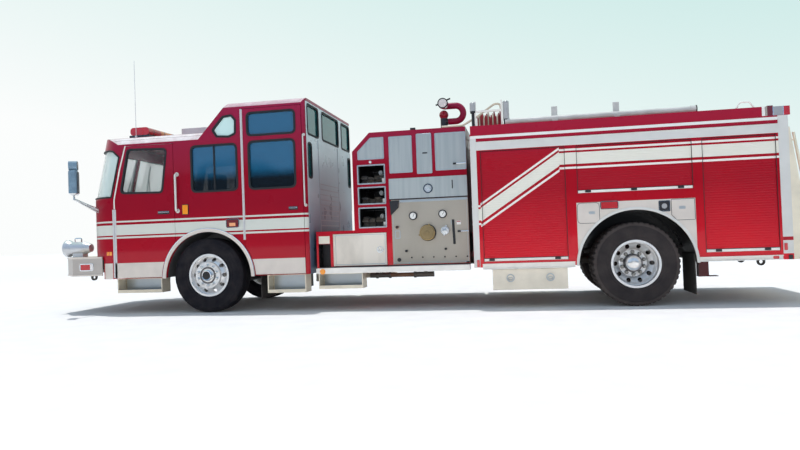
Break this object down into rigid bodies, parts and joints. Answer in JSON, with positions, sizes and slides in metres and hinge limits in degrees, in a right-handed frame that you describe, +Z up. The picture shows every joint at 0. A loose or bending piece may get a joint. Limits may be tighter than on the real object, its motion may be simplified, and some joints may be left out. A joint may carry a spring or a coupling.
{
  "type": "fire engine",
  "caption": "Custom-cab pumper fire engine with a raised crew roof, mid-mounted pump panel, hose bed and roll-up side lockers.",
  "frame": {"origin": "centre of the bounding box at ground level", "axes": "+X towards the tail, -Y towards the vehicle's left side, +Z up"},
  "size_m": [10.413, 3.0244, 3.68],
  "materials": {
    "red_paint": "gloss",
    "white_paint": "gloss",
    "stainless": "brushed",
    "tread_plate": "satin tread plate",
    "polished_alloy": "polished",
    "chrome_bright": "mirror polish",
    "chassis_black": "satin, dusty",
    "black_metal": "satin",
    "engine_metal": "painted casting",
    "tyre": "worn matt",
    "rubber_black": "matt",
    "glass": "tinted clear",
    "red_lens": "clear lens",
    "pale_plastic": "satin",
    "cab_trim": "grained",
    "seat_fabric": "woven",
    "hose_jacket": "woven jacket",
    "brass_worn": "worn"
  },
  "bodies": {
    "chassis": {"chassis_frame": "chassis_black", "leaf_springs": "chassis_black", "front_axle": "chassis_black", "rear_axle": "chassis_black", "engine_block": "engine_metal", "fuel_tank": "chassis_black", "front_bumper": "stainless", "siren": "chrome_bright", "cab_shell": "red_paint", "cab_roof": "red_paint", "cab_floor": "cab_trim", "cab_glass": "glass", "grille": "chrome_bright", "seats": "seat_fabric", "dashboard": "cab_trim", "mirrors": "chrome_bright", "steps": "tread_plate", "light_bar": "red_lens", "roof_fittings": "pale_plastic", "pump_module": "red_paint", "pump_panels": "stainless", "pump_fittings": "brass_worn", "hose_loads": "hose_jacket", "running_boards": "white_paint", "body_shell": "red_paint", "roll_up_shutters": "red_paint", "fender_panels": "stainless", "under_boxes": "tread_plate", "tailboard": "tread_plate", "mud_flaps": "rubber_black", "top_rack": "white_paint", "suction_hose": "black_metal", "lamps": "red_lens"},
    "knuckle_left": {"knuckle_left": "chassis_black"},
    "knuckle_right": {"knuckle_right": "chassis_black"},
    "tie_rod": {"tie_rod": "chassis_black"},
    "front_wheel_left": {"front_tyre_left": "tyre", "front_rim_left": "polished_alloy"},
    "front_wheel_right": {"front_tyre_right": "tyre", "front_rim_right": "polished_alloy"},
    "rear_wheels_left": {"rear_tyres_left": "tyre", "rear_rims_left": "polished_alloy"},
    "rear_wheels_right": {"rear_tyres_right": "tyre", "rear_rims_right": "polished_alloy"},
    "front_door_left": {"front_door_left": "red_paint", "front_glass_left": "glass"},
    "front_door_right": {"front_door_right": "red_paint", "front_glass_right": "glass"},
    "crew_door_left": {"crew_door_left": "red_paint", "crew_glass_left": "glass"},
    "crew_door_right": {"crew_door_right": "red_paint", "crew_glass_right": "glass"},
    "locker_door_left": {"locker_door_left": "stainless"},
    "locker_door_right": {"locker_door_right": "stainless"},
    "drop_door_left": {"drop_door_left": "tread_plate"},
    "drop_door_right": {"drop_door_right": "tread_plate"},
    "monitor_swivel": {"monitor_swivel": "black_metal"},
    "monitor_barrel": {"monitor_barrel": "red_paint"}
  },
  "joints": [
    {"name": "steer_left", "type": "hinge", "parent": "chassis", "child": "knuckle_left", "pos_m": [-2.7765, -0.84, 0.522], "axis": [0, 0, 1], "range_deg": [-35, 35]},
    {"name": "steer_right", "type": "hinge", "parent": "chassis", "child": "knuckle_right", "pos_m": [-2.7765, 0.84, 0.522], "axis": [0, 0, 1], "range_deg": [-35, 35]},
    {"name": "tie_rod_pivot", "type": "hinge", "parent": "knuckle_left", "child": "tie_rod", "pos_m": [-2.5865, -0.84, 0.38], "axis": [0, 0, 1], "range_deg": [-35, 35]},
    {"name": "front_wheel_left_spin", "type": "hinge", "parent": "knuckle_left", "child": "front_wheel_left", "pos_m": [-2.7765, -1.005, 0.522], "axis": [0, 1, 0], "continuous": true},
    {"name": "front_wheel_right_spin", "type": "hinge", "parent": "knuckle_right", "child": "front_wheel_right", "pos_m": [-2.7765, 1.005, 0.522], "axis": [0, 1, 0], "continuous": true},
    {"name": "rear_wheels_left_spin", "type": "hinge", "parent": "chassis", "child": "rear_wheels_left", "pos_m": [2.9365, -0.865, 0.522], "axis": [0, 1, 0], "continuous": true},
    {"name": "rear_wheels_right_spin", "type": "hinge", "parent": "chassis", "child": "rear_wheels_right", "pos_m": [2.9365, 0.865, 0.522], "axis": [0, 1, 0], "continuous": true},
    {"name": "front_door_left_hinge", "type": "hinge", "parent": "chassis", "child": "front_door_left", "pos_m": [-4.1965, -1.19, 1], "axis": [0, 0, -1], "range_deg": [0, 75]},
    {"name": "front_door_right_hinge", "type": "hinge", "parent": "chassis", "child": "front_door_right", "pos_m": [-4.1965, 1.19, 1], "axis": [0, 0, 1], "range_deg": [0, 75]},
    {"name": "crew_door_left_hinge", "type": "hinge", "parent": "chassis", "child": "crew_door_left", "pos_m": [-2.2015, -1.19, 1.8], "axis": [0, 0, -1], "range_deg": [0, 75]},
    {"name": "crew_door_right_hinge", "type": "hinge", "parent": "chassis", "child": "crew_door_right", "pos_m": [-2.2015, 1.19, 1.8], "axis": [0, 0, 1], "range_deg": [0, 75]},
    {"name": "locker_door_left_hinge", "type": "hinge", "parent": "chassis", "child": "locker_door_left", "pos_m": [-0.9795, -1.008, 0.81], "axis": [0, 0, -1], "range_deg": [0, 100]},
    {"name": "locker_door_right_hinge", "type": "hinge", "parent": "chassis", "child": "locker_door_right", "pos_m": [-0.9795, 1.008, 0.81], "axis": [0, 0, 1], "range_deg": [0, 100]},
    {"name": "drop_door_left_hinge", "type": "hinge", "parent": "chassis", "child": "drop_door_left", "pos_m": [1.641, -1.196, 0.244], "axis": [1, 0, 0], "range_deg": [0, 90]},
    {"name": "drop_door_right_hinge", "type": "hinge", "parent": "chassis", "child": "drop_door_right", "pos_m": [1.641, 1.196, 0.244], "axis": [-1, 0, 0], "range_deg": [0, 90]},
    {"name": "monitor_swivel_turn", "type": "hinge", "parent": "chassis", "child": "monitor_swivel", "pos_m": [0.4855, 0, 2.548], "axis": [0, 0, 1], "range_deg": [-170, 170]},
    {"name": "monitor_tilt", "type": "hinge", "parent": "monitor_swivel", "child": "monitor_barrel", "pos_m": [0.5515, 0, 2.64], "axis": [-1, 0, 0], "range_deg": [-10, 75]}
  ],
  "couplings": [
    {"joint": "steer_right", "follows": "steer_left", "ratio": 1},
    {"joint": "tie_rod_pivot", "follows": "steer_left", "ratio": -1}
  ]
}
